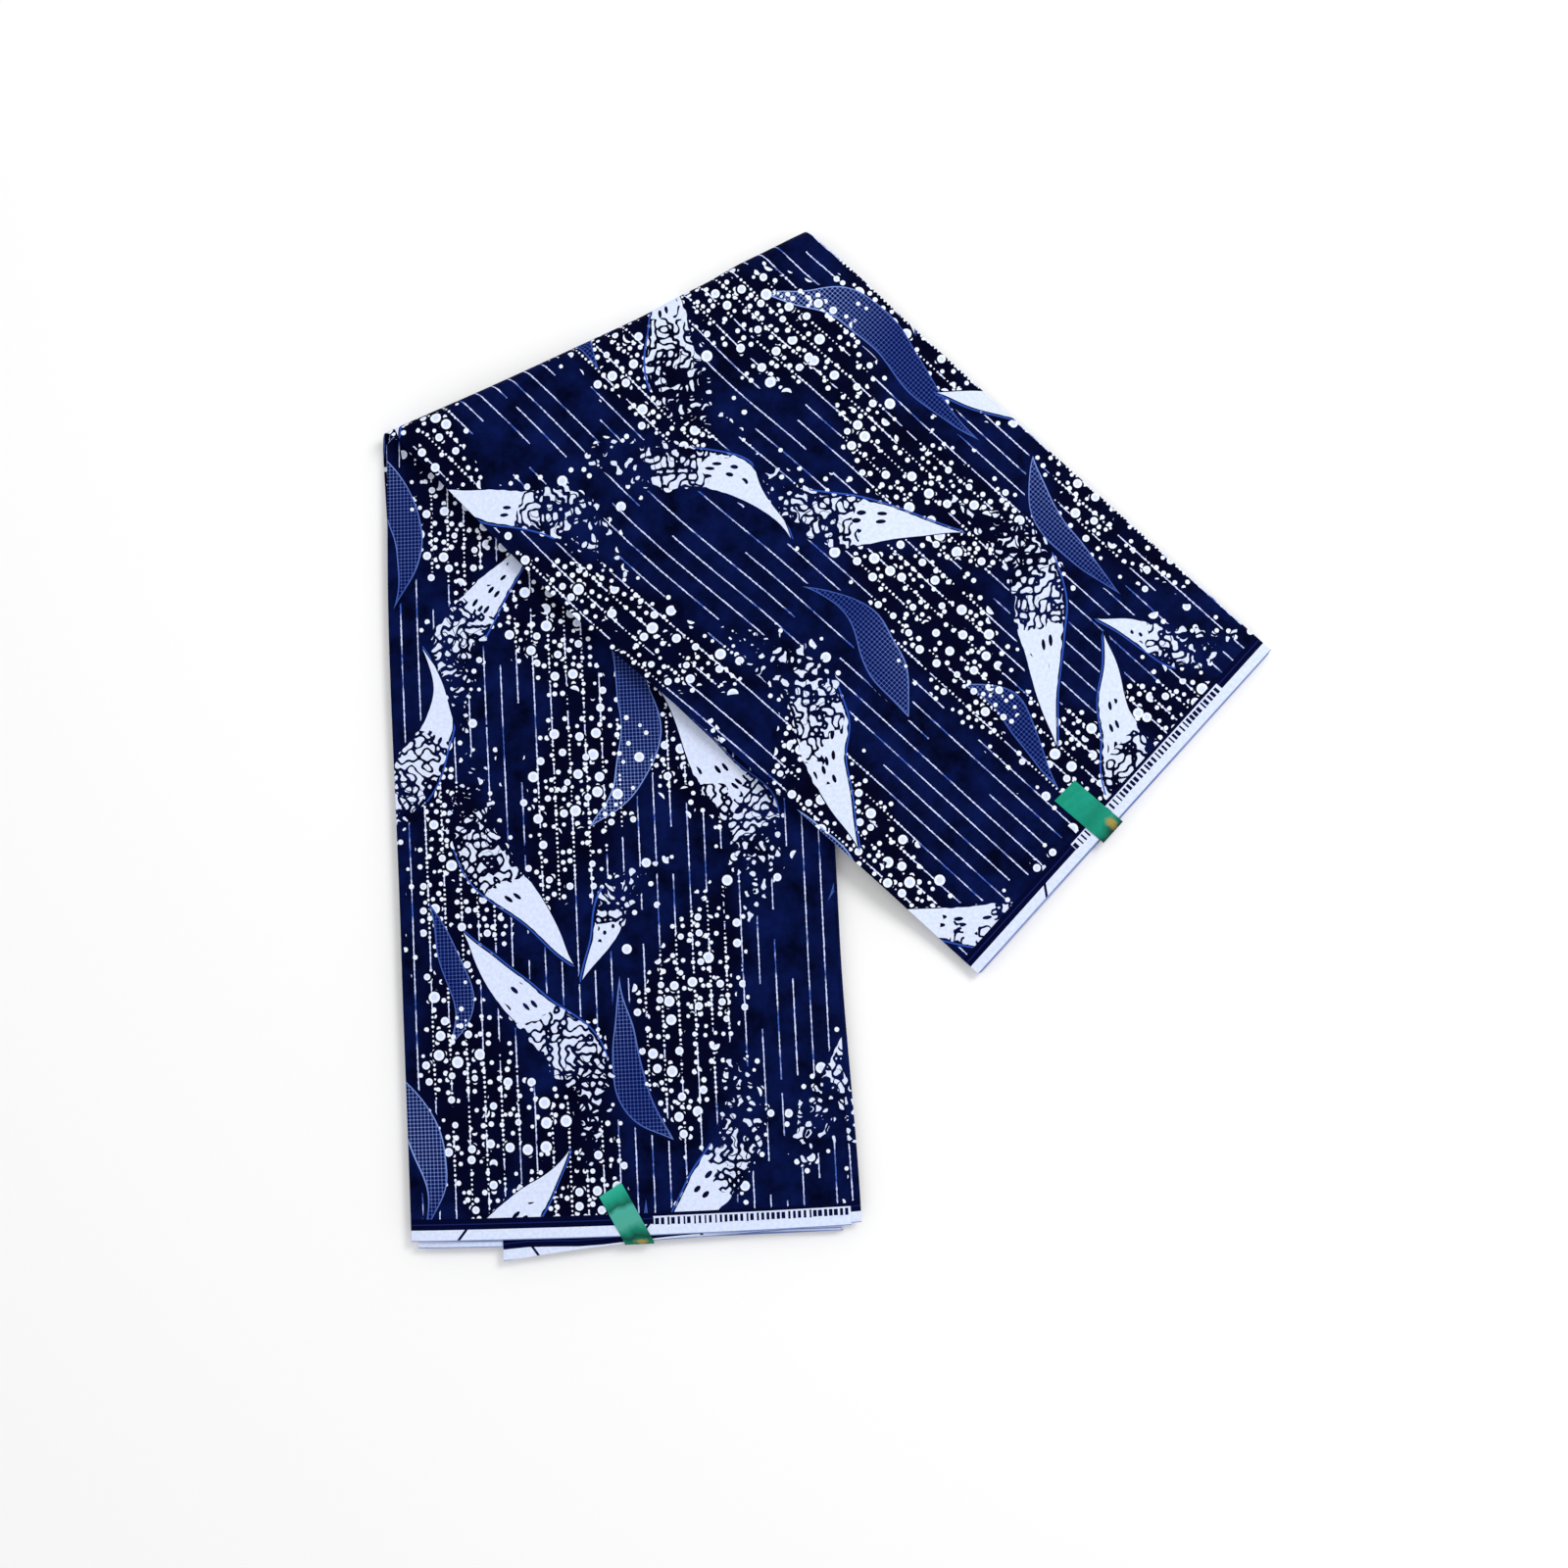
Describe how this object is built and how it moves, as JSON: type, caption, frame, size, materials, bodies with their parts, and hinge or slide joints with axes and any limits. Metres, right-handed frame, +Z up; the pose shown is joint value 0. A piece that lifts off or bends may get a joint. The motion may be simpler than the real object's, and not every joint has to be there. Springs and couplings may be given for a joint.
{
  "type": "folded ankara fabric",
  "caption": "A length of indigo wax-print cotton pleated into a long flat strip and folded over on a slant, its two ends lying apart like an open pair of compasses.",
  "frame": {"origin": "on the floor, under the middle of the outline of the folded cloth and its labels", "axes": "+Z up; +Y from the hem of the left leg towards the slanted fold; +X towards the leg that lies on top"},
  "size_m": [0.6384, 0.7336, 0.019],
  "materials": {
    "wax_print_cotton": "plain-woven cotton with an indigo, mid blue and white wax-resist print, lightly calendered",
    "label_foil": "green metallised film with a worn gold patch"
  },
  "bodies": {
    "root": {"cloth": "wax_print_cotton", "hem_label_left": "label_foil", "hem_label_right": "label_foil"}
  },
  "joints": []
}
